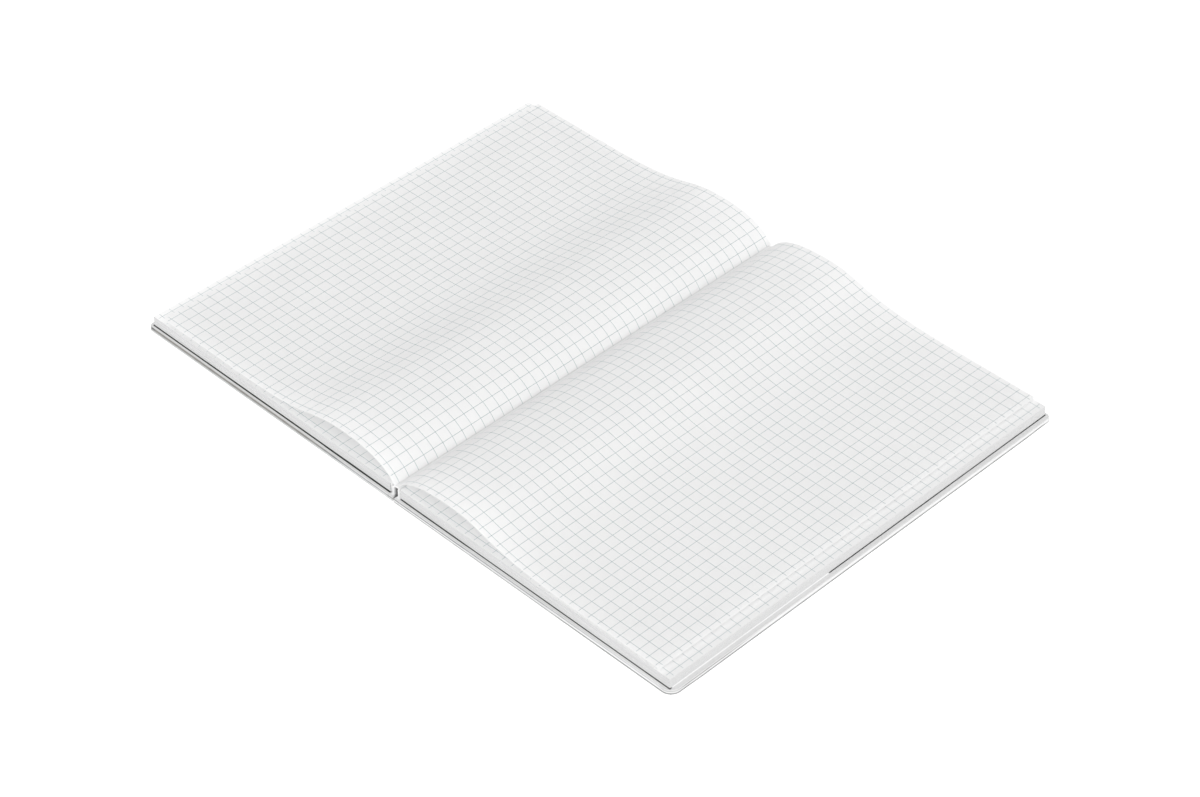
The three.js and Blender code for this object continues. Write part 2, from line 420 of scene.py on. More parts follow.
def book_cloth(name, color, pitch=0.42):
    """Fine twill book cloth by its UV map in metres.

    The painted_shade attribute of the mesh, 0 to 1, greys it: painted shade in its creases, along its rims
    and lower edges, on the top beside the pages and in the hollow of the spine.
    """
    n = material_nodes(name)
    where = n.place()
    uv = n.uv()
    turn = 2 * math.pi / (pitch * MM)
    stray = n.range(n.noise(where, 900.0, 2.0, 0.5), 0.3, 0.7, -0.5, 0.5)
    warp = n.math("SINE", n.math("ADD", n.math("MULTIPLY", uv.outputs[0], turn), stray))
    weft = n.math("SINE", n.math("ADD", n.math("MULTIPLY", uv.outputs[1], turn), stray))
    diagonal = n.math("MULTIPLY", n.math("ADD", uv.outputs[0], uv.outputs[1]), turn * 0.5)
    twill = n.math("SINE", n.math("ADD", diagonal, stray))
    weave = n.math("ADD", n.math("MULTIPLY", n.math("MULTIPLY", warp, weft), 0.5), twill)
    slub = n.noise(n.scaled(where, 0.2, 1.0, 1.0), 1100.0, 2.0, 0.6)
    height = n.math("ADD", weave, n.math("MULTIPLY", slub, 0.8))
    cloudy = n.noise(where, 38.0, 4.0, 0.55)
    base = n.mix(n.range(cloudy, 0.3, 0.7), grey(color * 0.985, 0.001), grey(color * 1.01, 0.0))
    base = n.mix(n.range(weave, -1.2, -0.2, 0.07, 0.0), base, grey(color * 0.80, 0.002))
    # Painted shade, 0 to 1, from the mesh: it greys the cloth in creases, along the rims and in the spine's
    # hollow.
    painted_shade = n.add("Attribute", attribute_name="painted_shade").outputs["Fac"]
    uneven = n.range(n.noise(where, 240.0, 3.0, 0.6), 0.3, 0.7, 0.86, 1.1)
    painted_shade = n.math("MULTIPLY", painted_shade, uneven)
    base = n.mix(painted_shade, base, (0.155, 0.158, 0.155, 1))
    roughness = n.range(cloudy, 0.3, 0.7, 0.62, 0.74)
    return n.finish(base, roughness, height, 0.00002, 0.45, **{"Sheen Weight": 0.12})


def raw_board(name):
    """Grey board pressed in layers."""
    n = material_nodes(name)
    where = n.place()
    flecks = n.noise(n.scaled(where, 1.0, 1.0, 5.0), 700.0, 4.0, 0.7)
    layers = n.noise(n.scaled(where, 0.06, 0.06, 9.0), 900.0, 2.0, 0.5)
    base = n.mix(n.range(flecks, 0.3, 0.7), (0.30, 0.28, 0.245, 1), (0.47, 0.44, 0.39, 1))
    base = n.mix(n.range(layers, 0.5, 0.75, 0.0, 0.5), base, (0.24, 0.225, 0.20, 1))
    return n.finish(base, n.range(flecks, 0.3, 0.7, 0.86, 0.97), layers, 0.0001, 0.7)


def gauze(name):
    """Open weave along Y and Z."""
    n = material_nodes(name)
    where = n.place()
    xyz = n.add("SeparateXYZ", {0: where})
    turn = 2 * math.pi / (0.9 * MM)
    threads_y = n.math("SINE", n.math("MULTIPLY", xyz.outputs[1], turn))
    threads_z = n.math("SINE", n.math("MULTIPLY", xyz.outputs[2], turn))
    weave = n.math("MAXIMUM", threads_y, threads_z)
    base = n.mix(n.range(weave, -0.4, 0.7), (0.42, 0.38, 0.30, 1), (0.76, 0.72, 0.62, 1))
    fuzz = n.noise(where, 2200.0, 3.0, 0.7)
    return n.finish(base, n.range(fuzz, 0.3, 0.7, 0.84, 0.95), weave, 0.00012, 0.9)


def waxed_thread(name):
    """Thread with a visible twist."""
    n = material_nodes(name)
    where = n.place()
    xyz = n.add("SeparateXYZ", {0: where})
    turn = 2 * math.pi / (0.35 * MM)
    lay = n.math("SINE", n.math("MULTIPLY", n.math("ADD", xyz.outputs[1], xyz.outputs[2]), turn))
    base = n.mix(n.range(lay, -1.0, 1.0), (0.66, 0.63, 0.55, 1), (0.86, 0.84, 0.77, 1))
    return n.finish(base, n.range(lay, -1.0, 1.0, 0.55, 0.7), lay, 0.00004, 0.7)


INK = (0.29, 0.392, 0.403, 1.0)
# 0.985 is painted light against the shade under the leaves; 0.847 is the paper's own tone.
page_paper = ruled_paper("ruled_page_paper", 0.985, INK, plain_tone=0.847)
leaf_paper = ruled_paper("ruled_leaf_paper", 0.995, INK, see_through=0.24)
stack_paper = edge_paper("page_edge_paper", 0.74)
shadow_line_endpaper = shadow_line_paper("endpaper_painted_shadow_line")
cover_cloth = book_cloth("white_book_cloth", 0.9)
board_material = raw_board("raw_greyboard")
mull_material = gauze("starched_gauze")
thread_material = waxed_thread("waxed_linen_thread")
# Painted shade: a grey copy of the edge paper for the folds at the front half's tail.
fold_shade_material = edge_paper("folds_painted_shade", 0.42)
# Painted shade: a darker copy of the edge paper for the other faces at the tail.
shaded_tail_paper = edge_paper("tail_edge_paper_painted_shade", 0.683)


# ---- pages ----
def leaf_line(leaf):
    """Centre line of a curved leaf from root to fore-edge, at even steps, and how far along each is."""
    crest_x, rise = leaf["crest"]
    flat = leaf["flat"]
    top = flat + rise
    root_x = leaf["root"][0]
    pull_x, pull_z = leaf["rise_pull"]
    steps = 200
    before_crest = (crest_x - leaf["crest_pull"], top)
    after_crest = (crest_x + leaf["fall_pull"], top)
    before_landing = (leaf["land"] - leaf["land_pull"], flat)
    up = bezier([leaf["root"], (root_x + pull_x, flat + pull_z), before_crest, (crest_x, top)], steps)
    down = bezier([(crest_x, top), after_crest, before_landing, (leaf["land"], flat)], steps)
    line = np.vstack([up, down[1:], [(leaf["edge"], flat)]])
    distance = np.concatenate([[0], np.cumsum(np.linalg.norm(np.diff(line, axis=0), axis=1))])
    even = np.linspace(0, distance[-1], 150)
    return np.stack([np.interp(even, distance, line[:, k]) for k in (0, 1)], 1), even


def ruling_across(leaf, from_edge):
    """Place on the ruling, in ruling units, of a point at this distance from the fore-edge."""
    turn = leaf["first_line"] + leaf["flat_lines"] * leaf["flat_pitch"]
    turn_unit = RULE / 2 + leaf["flat_lines"] * RULE
    if from_edge < turn:
        return RULE / 2 + (from_edge - leaf["first_line"]) * RULE / leaf["flat_pitch"]
    return turn_unit + (from_edge - turn) * RULE / leaf["curved_pitch"]


def curved_leaf(leaf, seed):
    """A thin sheet along the leaf's line, with the slight unevenness that paper has."""
    line, distance = leaf_line(leaf)
    us = [ruling_across(leaf, distance[-1] - d) for d in distance]
    rows = np.linspace(-PAGE_LENGTH / 2, PAGE_LENGTH / 2, 61)
    rng = random.Random(seed)
    lengthwise = wobble(rng, 0.03, PAGE_LENGTH)
    crosswise = wobble(rng, 0.5, distance[-1])

    def shift(i, j):
        free = min(1.0, distance[i] / 40)
        return 0, 0, free * lengthwise(rows[j]) * (1 + crosswise(distance[i]))

    vertices, faces, uvs = ribbon(line, LEAF_THICKNESS, rows, us, shift)
    if leaf["side"] < 0:
        vertices, faces = mirrored(vertices, faces)
    obj = new_object(leaf["name"] + "_sheet", vertices, faces, uvs, leaf_paper)
    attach(obj, leaf["name"])
    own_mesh(obj)
    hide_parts(leaf["name"])


def trimmed_rows(inner_rows):
    """Places along Y from tail to head, with one close to each trimmed edge."""
    inner = PAGE_LENGTH / 2 - EDGE_ROW
    return np.concatenate([[-PAGE_LENGTH / 2], np.linspace(-inner, inner, inner_rows), [PAGE_LENGTH / 2]])


def section_sheets(side, index, rng):
    """The four folded sheets of a section, one inside another, with sawn kerfs for the thread."""
    half = "back" if side > 0 else "front"
    start = COVER_TOP + 2 * ENDPAPER[half]
    thickness = (BLOCK_TOP - start) / SECTIONS
    bottom = start + index * thickness
    middle = bottom + thickness / 2
    pitch = thickness / LEAVES_PER_SECTION
    fold_x = BLOCK_BACK + thickness / 2
    rows = trimmed_rows(17)
    across = np.linspace(FORE_EDGE - EDGE_ROW, fold_x + 3, 14)
    reach = np.concatenate([[FORE_EDGE], across, [fold_x + FOLD_MARGIN]])
    parts = []
    for sheet in range(LEAVES_PER_SECTION // 2):
        radius = thickness / 2 - (sheet + 0.5) * pitch
        angles = np.linspace(-math.pi / 2, -3 * math.pi / 2, 9)
        lower = [(x, middle - radius) for x in reach]
        fold = [(fold_x + radius * math.cos(a), middle + radius * math.sin(a)) for a in angles]
        upper = [(x, middle + radius) for x in reversed(reach)]
        line = lower + fold + upper
        us = [FORE_EDGE - x for x, z in line]
        fore = [wobble(rng, 0.035, PAGE_LENGTH, 6) for _ in range(2)]
        ends = [wobble(rng, 0.035, FORE_EDGE, 6) for _ in range(4)]

        def shift(i, j, fore=fore, ends=ends, line=line):
            lower_half = i < len(line) // 2
            dx = dy = 0.0
            if i in (0, len(line) - 1):
                dx = fore[0 if lower_half else 1](rows[j])
            if j in (0, len(rows) - 1):
                which = (0 if lower_half else 1) + (0 if j == 0 else 2)
                dy = ends[which](line[i][0])
            return dx, dy, 0

        parts.append(ribbon(line, pitch * LEAF_SHARE, rows, us, shift))
    vertices, faces, uvs = join_parts(parts)
    if side < 0:
        vertices, faces = mirrored(vertices, faces)
    obj = new_object(f"{half}_section_{index + 1}_sheets", vertices, faces, uvs, page_paper)
    cut_kerfs(obj, side, bottom, thickness)
    paint_edges(obj)
    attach(obj, f"{half}_block")
    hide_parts(f"{half}_section_{index + 1}")


def box_part(x, y, z):
    """A box between two limits on each axis, as (vertices, faces, uvs)."""
    corners = [(x[a], y[b], z[c]) for a in (0, 1) for b in (0, 1) for c in (0, 1)]
    faces = [(0, 1, 3, 2), (4, 6, 7, 5), (0, 4, 5, 1), (2, 3, 7, 6), (0, 2, 6, 4), (1, 5, 7, 3)]
    return corners, faces, [(0, 0)] * 8


def cut_kerfs(obj, side, bottom, thickness):
    """Saws a slot across the folds at each sewing station."""
    cuts = []
    for station in range(STATIONS):
        y = (station - (STATIONS - 1) / 2) * STATION_SPACING
        x = sorted((side * (BLOCK_BACK - 0.5), side * (BLOCK_BACK + KERF_DEPTH)))
        z = (bottom - 0.2, bottom + thickness + 0.2)
        cuts.append(box_part(x, (y - KERF_WIDTH / 2, y + KERF_WIDTH / 2), z))
    cutter = new_object("kerfs", *join_parts(cuts))
    modifier = obj.modifiers.new("kerfs", "BOOLEAN")
    modifier.operation = "DIFFERENCE"
    modifier.solver = "EXACT"
    modifier.object = cutter
    bpy.context.view_layer.update()
    cut = bpy.data.meshes.new_from_object(obj.evaluated_get(bpy.context.evaluated_depsgraph_get()))
    obj.modifiers.clear()
    old = obj.data
    obj.data = cut
    cut.name = old.name
    bpy.data.meshes.remove(old)
    bpy.data.objects.remove(cutter)


def paint_edges(obj):
    """Gives the trimmed edges their streaked materials.

    At the tail, painted shade greys the folds of the front half, and the other tail faces take a darker copy
    of the edge paper, also painted shade.
    """
    mesh = obj.data
    for material in (stack_paper, fold_shade_material, shaded_tail_paper):
        mesh.materials.append(material)
    edge, fold_shade, tail = 1, 2, 3
    # Painted shade: the front half's tail faces from this x to the spine are greyed as shade at the folds.
    glued = -(BLOCK_BACK + FOLD_RADIUS + FOLD_MARGIN + 0.05) * MM
    past_folds = (BLOCK_BACK + 1.5) * MM
    for face in mesh.polygons:
        outwards = abs(face.normal.z) < 0.5 and abs(face.center.x) > past_folds
        # Painted shade: tail faces take the grey fold copy or the darker tail copy of the edge paper.
        if face.normal.y < -0.7:
            face.material_index = fold_shade if glued < face.center.x < 0 else tail
        elif outwards or face.normal.y > 0.7:
            face.material_index = edge


def endpaper_sheet(side, glued):
    """One half of the endpaper, painted near black as painted shade: glued down inside the cover, or the free
    flyleaf under the pages.
    """
    half = "back" if side > 0 else "front"
    thickness = ENDPAPER[half]
    reach = PASTEDOWN_REACH[half] if glued else 0.02
    middle = COVER_TOP + thickness * (0.5 if glued else 1.5)
    line = [(x, middle) for x in np.linspace(FORE_EDGE, BLOCK_BACK + 0.5, 120)]
    rows = trimmed_rows(40)
    rng = random.Random(40 + side + 5 * glued)
    trims = [wobble(rng, 0.02, FORE_EDGE, 6) for _ in range(3)]

    def shift(i, j):
        dx = dy = 0.0
        x = line[i][0]
        if i == 0:
            dx = reach + trims[2](rows[j])
        if j in (0, len(rows) - 1):
            more = 0.11 * (1 - smooth((x - 38) / 5)) if glued else 0.0
            dy = (reach + more + trims[0 if j == 0 else 1](x)) * (-1 if j == 0 else 1)
        return dx, dy, 0

    us = [x for x, z in line]
    vertices, faces, uvs = ribbon(line, thickness * 0.96, rows, us, shift)
    if side < 0:
        vertices, faces = mirrored(vertices, faces)
    kind = "pastedown" if glued else "flyleaf"
    obj = new_object(f"{half}_{kind}_sheet", vertices, faces, uvs, shadow_line_endpaper)
    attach(obj, f"{half}_cover" if glued else f"{half}_block")
    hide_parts(f"{half}_{kind}")


# ---- cover ----
CLOTH_SHARP = 50  # degrees between faces that make a sharp edge in the cloth


def cloth_object(name, vertices, faces, uvs, painted_shades):
    """A piece of the white book cloth, with the painted shade of each vertex."""
    obj = new_object(name, vertices, faces, uvs, cover_cloth, sharp=CLOTH_SHARP)
    obj.data.attributes.new("painted_shade", "FLOAT", "POINT").data.foreach_set("value", painted_shades)
    clean(obj)
    return obj


def clean(obj):
    """Welds points that fell together and makes every face look outwards."""
    mesh = obj.data
    work = bmesh.new()
    work.from_mesh(mesh)
    bmesh.ops.remove_doubles(work, verts=work.verts, dist=2e-7)
    bmesh.ops.dissolve_degenerate(work, edges=work.edges, dist=1e-7)
    bmesh.ops.recalc_face_normals(work, faces=work.faces)
    work.to_mesh(mesh)
    work.free()
    mesh.shade_smooth()
    mesh.set_sharp_from_angle(angle=math.radians(CLOTH_SHARP))


def corner_radius(side, end):
    """Radius of a cover's corner. The one nearest the camera is worn rounder than the others."""
    return NEAR_CORNER_RADIUS if side > 0 and end == "tail" else CORNER_RADIUS


def cover_outline(side):
    """Points round the cover in plan, each with the corner it belongs to, for insetting."""
    x0, x1, y1 = COVER_INNER, COVER_OUTER, COVER_HALF_LENGTH
    tail_radius, head_radius = corner_radius(side, "tail"), corner_radius(side, "head")
    points = []
    steps = 24
    for x in np.linspace(x0, x1 - tail_radius, 60)[:-1]:
        points.append(("tail", x, 0))
    for k in range(steps + 1):
        points.append(("tail_corner", 0, -math.pi / 2 + k * math.pi / 2 / steps))
    for y in np.linspace(-y1 + tail_radius, y1 - head_radius, 70)[1:-1]:
        points.append(("fore", y, 0))
    for k in range(steps + 1):
        points.append(("head_corner", 0, k * math.pi / 2 / steps))
    for x in np.linspace(x1 - head_radius, x0, 60)[1:]:
        points.append(("head", x, 0))
    for y in np.linspace(y1, -y1, 40)[1:-1]:
        points.append(("spine", y, 0))
    return points


def inset_point(side, kind, place, angle, inset, spine_inset):
    """Where an outline point lies when the outline is drawn in by the inset."""
    x0, x1, y1 = COVER_INNER, COVER_OUTER, COVER_HALF_LENGTH
    tail, head = (max(corner_radius(side, end), inset) for end in ("tail", "head"))
    low = x0 + spine_inset
    if kind == "tail":
        return min(max(place, low), x1 - tail), -y1 + inset
    if kind == "head":
        return min(max(place, low), x1 - head), y1 - inset
    if kind == "fore":
        return x1 - inset, max(-y1 + tail, min(y1 - head, place))
    if kind == "spine":
        limit = y1 - inset
        return low, max(-limit, min(limit, place))
    reach = head if kind == "head_corner" else tail
    left = reach - inset
    y = y1 - reach if kind == "head_corner" else reach - y1
    return x1 - reach + left * math.cos(angle), y + left * math.sin(angle)


RIM_HEIGHTS = [1.76 - 0.08 * k for k in range(20)] + [0.16, 0.08]  # below the bead
BEAD_RADIUS = 0.2
BEAD_STEPS = 5
FLARE = 0.2  # how far the cloth stands out at the lower edge


def bell(height, centre, half):
    """1 round the centre, a third of that at half away from it, and soon nothing beyond."""
    return math.exp(-(((height - centre) / half) ** 4))


def rim(side, kind, place):
    """The rim of a cover as (inset, height, painted shade) from its top to its underside.

    The cloth that is turned in makes a bead, with a crease under it. Shade is painted into the crease,
    on the bead, over the side and along the lower edge. The crease is deep along the tail of the front cover
    and round that corner, and slight elsewhere. The cloth of the side stands out a little towards the lower
    edge.
    """
    deep = 0.0  # share of the full crease
    line, line_at, line_half = 0.0, 1.21, 0.26  # painted shade in the crease
    groove_at, groove_half = 1.24, 0.19  # the crease itself
    side_shade, top = 0.0, 0.26  # painted shade of the whole side and of the bead
    low, low_half = 1.0, 0.36  # painted shade along the lower edge
    spread = FLARE
    if side < 0:
        side_shade, low, low_half = 0.2, 0.5, 0.36
        if kind == "tail":
            deep = smooth((place - 12) / 48)
            line = 0.75 + 0.25 * deep
        elif kind == "tail_corner":
            deep, line = 1.0, 1.0
        elif kind == "fore":
            deep = 1 - smooth((place + COVER_HALF_LENGTH) / 16)
            line = deep
        line_at, line_half = 1.12 + 0.03 * deep, 0.26 + 0.36 * deep
        groove_at, groove_half = 1.2, 0.2 + 0.34 * deep
    elif kind == "tail":
        line = 0.95 - 0.25 * smooth((place - 100) / 12)
        line_at = 1.36 + 0.22 * smooth((place - 36) / 8) + 0.14 * smooth((place - 78) / 10)
        groove_at = line_at + 0.04
        side_shade = 0.12 + 0.08 * smooth((place - 36) / 8) - 0.2 * smooth((place - 74) / 36)
        top = 0.26 - 0.16 * smooth((place - 105) / 20)
        outer_end = smooth((place - 80) / 20)
        low, low_half = 0.85 + 0.15 * outer_end, 0.5 + 0.1 * outer_end
    elif kind == "tail_corner":
        line, low_half = 0.5, 0.6
    elif kind == "fore":
        line = 0.8 * (1 - smooth((place + 84) / 30))
        line_at, line_half = 1.18, 0.18
        off_corner = smooth((COVER_HALF_LENGTH - 6 - abs(place)) / 10)
        low_half, spread = 0.6 - 0.05 * off_corner, FLARE + 0.2 * off_corner
    crease = 0.10 + 0.62 * deep
    points = []
    for k in range(BEAD_STEPS + 1):
        turn = math.pi / 2 * (1 - k / BEAD_STEPS)
        inset = BEAD_RADIUS - BEAD_RADIUS * math.cos(turn)
        height = COVER_TOP - BEAD_RADIUS + BEAD_RADIUS * math.sin(turn)
        points.append((inset, height, top + (line - top) * deep * smooth((k - 0.5) / 3)))
    for z in RIM_HEIGHTS:
        groove = bell(z, groove_at, groove_half)
        flare = spread * smooth((1.3 - z) / 1.2)
        near_top = top * smooth((z - line_at - line_half) / 0.15)
        painted_shade = max(line * bell(z, line_at, line_half), low * bell(z, 0.0, low_half), near_top, side_shade)
        points.append((0.01 + crease * groove - flare, z, painted_shade))
    points += [(0.03 - spread, 0.03, low), (0.1 - spread, 0.0, low), (0.1, 0.0, 0.4), (0.5, 0.0, 0.05)]
    return points


def cover_cloth_piece(side):
    """Cloth wrapped round the board: flat outside, beaded rim, and turn-ins with an open window inside."""
    outline = cover_outline(side)
    half = "back" if side > 0 else "front"
    rings = []

    # The third value of a ring is its painted shade: some on the top beside the pages, a little on the
    # underside.
    def ring(inset, z, painted_shade, spine_inset=None):
        points = []
        for kind, place, angle in outline:
            near = inset if spine_inset is None else spine_inset
            x, y = inset_point(side, kind, place, angle, inset, near)
            points.append((x, y, z, inset, painted_shade))
        rings.append(points)

    board_top = COVER_TOP - CLOTH
    # inner skin, from the middle of the bottom up and in to the window
    middle = TURN_IN + 6
    ring(middle, CLOTH, 0.0)
    ring(CLOTH + 1.0, CLOTH, 0.0, CLOTH + 0.6)
    ring(CLOTH + 0.85, CLOTH + 0.02, 0.0, CLOTH)
    ring(CLOTH + 0.85, board_top, 0.0, CLOTH)
    ring(TURN_IN, board_top, 0.0, CLOTH + 0.002)
    ring(TURN_IN, COVER_TOP, 0.2, CLOTH + 0.001)
    # outer skin, from the window over the rim to the middle of the bottom
    ring(TURN_IN * 0.5, COVER_TOP, 0.2, CLOTH * 0.95)
    ring(1.2, COVER_TOP, 0.2, CLOTH * 0.9)
    rims = [rim(side, kind, place) for kind, place, angle in outline]
    plain = rim(1, "spine", 0)
    for k in range(len(plain)):
        points = []
        for (kind, place, angle), profile in zip(outline, rims):
            inset, z, painted_shade = profile[k]
            near = max(0.0, plain[k][0]) if k >= BEAD_STEPS else min(inset, CLOTH * 0.85)
            x, y = inset_point(side, kind, place, angle, inset, near)
            points.append((x, y, z, inset, painted_shade))
        rings.append(points)
    ring(2.2, 0.0, 0.04)
    ring(middle, 0.0, 0.04)

    count = len(outline)
    vertices, uvs, faces, painted_shades = [], [], [], []
    for points in rings:
        for k, (x, y, z, inset, painted_shade) in enumerate(points):
            vertices.append((x, y, z))
            uvs.append(cloth_uv(side, outline[k], x, y, z, inset))
            painted_shades.append(painted_shade)
    for index in range(len(rings) - 1):
        for k in range(count):
            a, b = index * count + k, index * count + (k + 1) % count
            faces.append((a, b, b + count, a + count))
    faces.append(tuple(range(count)))
    faces.append(tuple(reversed(range((len(rings) - 1) * count, len(rings) * count))))
    if side < 0:
        vertices, faces = mirrored(vertices, faces)
    obj = cloth_object(f"{half}_cover_cloth_wrap", vertices, faces, uvs, painted_shades)
    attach(obj, f"{half}_cover")
    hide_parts(f"{half}_cover_cloth")


def cloth_uv(side, point, x, y, z, inset):
    """Unrolls the rim: the cloth goes on outwards where it turns up the side."""
    kind, place, angle = point
    if z <= 1e-6:
        return x, y
    out = z + inset if z < COVER_TOP - 1e-6 else COVER_TOP + inset
    if kind == "tail":
        return x, -COVER_HALF_LENGTH - out
    if kind == "head":
        return x, COVER_HALF_LENGTH + out
    if kind == "fore":
        return COVER_OUTER + out, y
    if kind == "spine":
        return COVER_INNER - out, y
    radius = corner_radius(side, kind.split("_")[0])
    reach = radius + out
    sign = 1 if kind == "head_corner" else -1
    return (
        COVER_OUTER - radius + reach * math.cos(angle),
        sign * (COVER_HALF_LENGTH - radius) + reach * math.sin(angle),
    )


# ---- spine ----
def ends_rounded(thickness, steps=5):
    """Rows along the spine that close in at both ends, with the share of the full thickness at each."""
    end = SPINE_HALF_LENGTH
    radius = thickness / 2
    turn = [k * math.pi / 2 / steps for k in range(steps + 1)]
    tail = [(-end + radius * (1 - math.cos(a)), max(0.12, math.sin(a))) for a in turn]
    tail += [(-end + radius + more, 1.0) for more in (0.3, 0.7, 1.2, 2.0, 4.0)]
    inner = [(y, 1.0) for y in np.linspace(-end + radius + 8, end - radius - 8, 25)]
    head = [(-y, s) for y, s in reversed(tail)]
    return tail + inner + head


def hollow_shade(depth):
    """Painted shade in the mouth of the hollow, by how far in from the tail end it is. The rest has none."""
    return 0.95 * smooth((depth - 0.5) / 1.4) * (1 - smooth((depth - SHADE_FADE_DEPTH) / 1.5))


def strip(name, line, thickness, trim=None):
    """A strip of cloth along the spine whose ends are turned in, so that they are round and closed.

    trim(x) shortens the strip at both ends where the line is at x. The reverse faces the hollow of the spine.
    """
    line = np.asarray(line, float)
    normal = normals_of(line)
    distance = np.concatenate([[0], np.cumsum(np.linalg.norm(np.diff(line, axis=0), axis=1))])
    rows = ends_rounded(thickness)
    reach = [1 - (trim(x) if trim else 0) / SPINE_HALF_LENGTH for x, z in line]
    vertices, uvs, painted_shades = [], [], []
    for y, share in rows:
        for sign in (0.5, -0.5):
            for i, (middle_x, middle_z) in enumerate(line):
                x, z = line[i] + normal[i] * thickness * sign * share
                vertices.append((x, y * reach[i], z))
                uvs.append((distance[i], y * reach[i]))
                # Painted shade on the face towards the hollow, near the tail.
                from_middle = math.hypot(middle_x, middle_z - HOLLOW_MIDDLE)
                reverse = math.hypot(x, z - HOLLOW_MIDDLE) < from_middle
                painted_shades.append(hollow_shade(y + SPINE_HALF_LENGTH) if reverse else 0.0)
    return cloth_object(name, vertices, ribbon_faces(len(line), len(rows)), uvs, painted_shades)


def joint_roll(side):
    """The cloth of a cover's joint: it carries the rim on to the middle and rises into the spine leg."""
    half = "back" if side > 0 else "front"
    levels = []
    for inset, z, painted_shade in reversed(rim(side, "tail", COVER_INNER)[:-2]):
        rounding = 0.14 * max(0.0, 1 - z / 0.12) + 0.14 * smooth((z - 1.8) / 0.2)
        levels.append((JOINT_INNER + rounding, COVER_INNER + 0.3, z, COVER_HALF_LENGTH - inset, painted_shade))
    for z in (COVER_TOP + 0.01, COVER_TOP + 0.3, LEG_BOTTOM + 0.1):
        levels.append((LEG_INNER + 0.02, LEG_OUTER - 0.02, z, SPINE_HALF_LENGTH, 0.0))
    near_end = [1, 0.9988, 0.995, 0.99, 0.985, 0.975]
    shares = [-share for share in near_end] + list(np.linspace(-0.95, 0.95, 25)) + near_end[::-1]
    vertices, uvs, painted_shades, faces = [], [], [], []
    for share in shares:
        drawn_in = 0.1 if abs(share) == 1 else 0.0
        for inner, outer, z, length, painted_shade in levels:
            depth = length * (1 + share)
            # The rim's painted shade fades out from the tail end; the hollow's painted shade lies on the
            # inner face.
            rim_shade = painted_shade * (1 - smooth((depth - SHADE_FADE_DEPTH) / 1.5))
            for x, dark in ((inner + drawn_in, hollow_shade(depth)), (outer, 0.0)):
                vertices.append((x, share * length, z))
                uvs.append((x + z, share * length))
                painted_shades.append(max(rim_shade, dark))
    ring = 2 * len(levels)
    for j in range(len(shares) - 1):
        for k in range(len(levels) - 1):
            a = j * ring + 2 * k
            faces.append((a, a + 2, a + 2 + ring, a + ring))
            faces.append((a + 1, a + 1 + ring, a + 3 + ring, a + 3))
        for a in (j * ring, (j + 1) * ring - 2):
            faces.append((a, a + 1, a + 1 + ring, a + ring))
    for base in (0, (len(shares) - 1) * ring):
        for k in range(len(levels) - 1):
            a = base + 2 * k
            faces.append((a, a + 1, a + 3, a + 2))
    if side < 0:
        vertices, faces = mirrored(vertices, faces)
    return cloth_object(f"{half}_joint_cloth", vertices, faces, uvs, painted_shades)


def spine():
    """The cloth of the spine: a leg on each half, a joint to each cover and the fold between the halves."""
    leg_middle = (LEG_INNER + LEG_OUTER) / 2
    leg_thickness = LEG_OUTER - LEG_INNER
    for side, half in ((1, "back"), (-1, "front")):
        leg = strip(
            f"{half}_spine_leg",
            [(side * leg_middle, z) for z in np.linspace(LEG_BOTTOM - 0.25, LEG_TOP, 9)],
            leg_thickness,
        )
        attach(leg, f"{half}_block")
        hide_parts(f"{half}_spine_cloth")
        joint = joint_roll(side)
        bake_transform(joint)
    bend = 0.75
    shoulder = LEG_TOP + 0.8
    flat_end = leg_middle - bend
    right = [(leg_middle, z) for z in np.linspace(LEG_TOP - 0.1, shoulder, 5)[:-1]]
    for turn in np.linspace(0, math.pi / 2, 9):
        right.append((flat_end + bend * math.cos(turn), shoulder + bend * math.sin(turn)))
    arch = right + [(x, right[-1][1]) for x in np.linspace(flat_end, -flat_end, 7)[1:-1]]
    arch += [(-x, z) for x, z in reversed(right)]
    open_end = 0.6
    fold = strip(
        "spine_fold_cloth",
        arch,
        leg_thickness - 0.02,
        trim=lambda x: open_end * smooth((1.45 - abs(x)) / 0.5),
    )
    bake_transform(fold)
    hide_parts("spine_fold")


# ---- carried-over nodes ----
def dress_nodes():
    """Materials of the CAD nodes that no mesh here replaces."""
    looks = {"board": board_material, "mull": mull_material, "sewing_thread": thread_material}
    for name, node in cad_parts.items():
        for key, material in looks.items():
            if key in name:
                for slot in node.material_slots:
                    slot.material = material


# ---- studio ----
def camera():
    """The camera that was fitted to the ruling, with its angles from the book's axes."""
    azimuth, elevation, roll = (math.radians(v) for v in CAMERA_ANGLES)
    level = math.cos(elevation)
    back = Vector((math.sin(azimuth) * level, -math.cos(azimuth) * level, math.sin(elevation)))
    right = Vector((math.cos(azimuth), math.sin(azimuth), 0))
    up = back.cross(right)
    turned_right = right * math.cos(roll) + up * math.sin(roll)
    turned_up = up * math.cos(roll) - right * math.sin(roll)
    data = bpy.data.cameras.new("photo_camera")
    data.sensor_width = SENSOR
    data.sensor_fit = "HORIZONTAL"
    data.lens = FOCAL_PIXELS * SENSOR / PHOTO_WIDTH
    data.clip_start, data.clip_end = 0.05, 20.0
    obj = bpy.data.objects.new("photo_camera", data)
    bpy.context.scene.collection.objects.link(obj)
    place = (Vector(CAMERA_TARGET) + back * CAMERA_DISTANCE) * MM
    obj.matrix_world = Matrix(
        (
            (turned_right.x, turned_up.x, back.x, place.x),
            (turned_right.y, turned_up.y, back.y, place.y),
            (turned_right.z, turned_up.z, back.z, place.z),
            (0, 0, 0, 1),
        )
    )
    bpy.context.scene.camera = obj


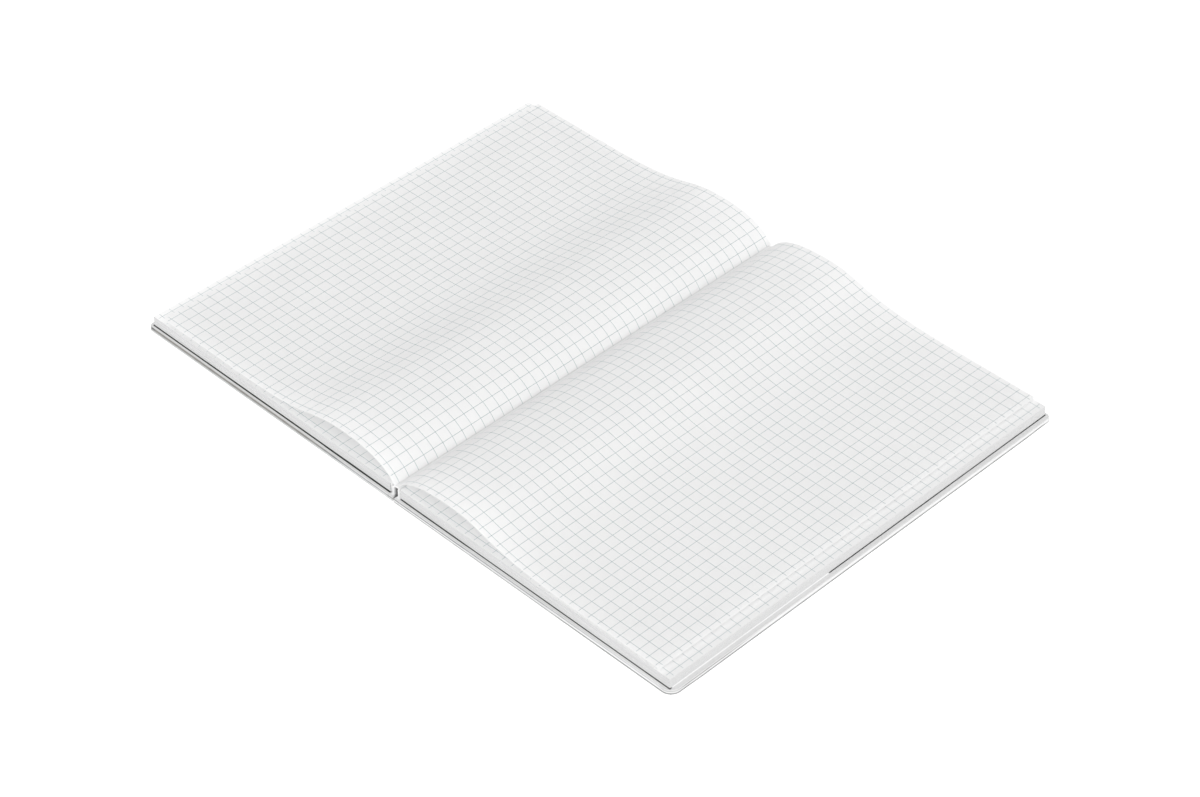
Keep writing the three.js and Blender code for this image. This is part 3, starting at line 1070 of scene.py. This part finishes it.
def seen_directly(n):
    """1 for rays that the camera, a mirror or glass sends, and 0 for light on its way between surfaces."""
    path = n.add("LightPath")
    return n.math(
        "MAXIMUM",
        path.outputs["Is Camera Ray"],
        n.math("MAXIMUM", path.outputs["Is Glossy Ray"], path.outputs["Is Transmission Ray"]),
    )


def studio():
    """White surroundings, one soft lamp from the side and a white floor that keeps the shadow."""
    scene = bpy.context.scene
    scene.view_settings.view_transform = "Standard"
    world = bpy.data.worlds.new("studio")
    scene.world = world
    world.use_nodes = True
    n = Nodes(world.node_tree)
    seen = seen_directly(n)
    strength = n.range(seen, 0.0, 1.0, SKY, 1.0)
    background = n.add("Background", {"Color": (1, 1, 1, 1), "Strength": strength})
    output = n.add("OutputWorld")
    n.tree.links.new(background.outputs[0], output.inputs[0])

    sun = bpy.data.lights.new("side_light", "SUN")
    sun.energy = SUN
    sun.angle = SUN_ANGLE
    lamp = bpy.data.objects.new("side_light", sun)
    scene.collection.objects.link(lamp)
    lamp.rotation_mode = "QUATERNION"
    lamp.rotation_quaternion = Vector(SUN_FROM).to_track_quat("Z", "Y")

    floor_look = material_nodes("white_floor")
    shown = seen_directly(floor_look)
    plain, bright = grey(0.9), grey(FLOOR_SHOWN)
    diffuse = floor_look.add("BsdfDiffuse", {"Color": floor_look.mix(shown, plain, bright)})
    out = floor_look.add("OutputMaterial")
    floor_look.tree.links.new(diffuse.outputs[0], out.inputs[0])
    corners = [(x, y, FLOOR_Z) for x, y in ((-1, -1), (1, -1), (1, 1), (-1, 1))]
    corners = [(x * FLOOR_REACH, y * FLOOR_REACH, z) for x, y, z in corners]
    floor = new_object("floor", corners, [(0, 1, 2, 3)], material=floor_look.material)


camera()
studio()
dress_nodes()
rng = random.Random(7)
for half_side in (1, -1):
    for section_index in range(SECTIONS):
        section_sheets(half_side, section_index, rng)
    for is_glued in (True, False):
        endpaper_sheet(half_side, is_glued)
    cover_cloth_piece(half_side)
spine()
curved_leaf(RIGHT_LEAF, 11)
curved_leaf(LEFT_LEAF, 23)
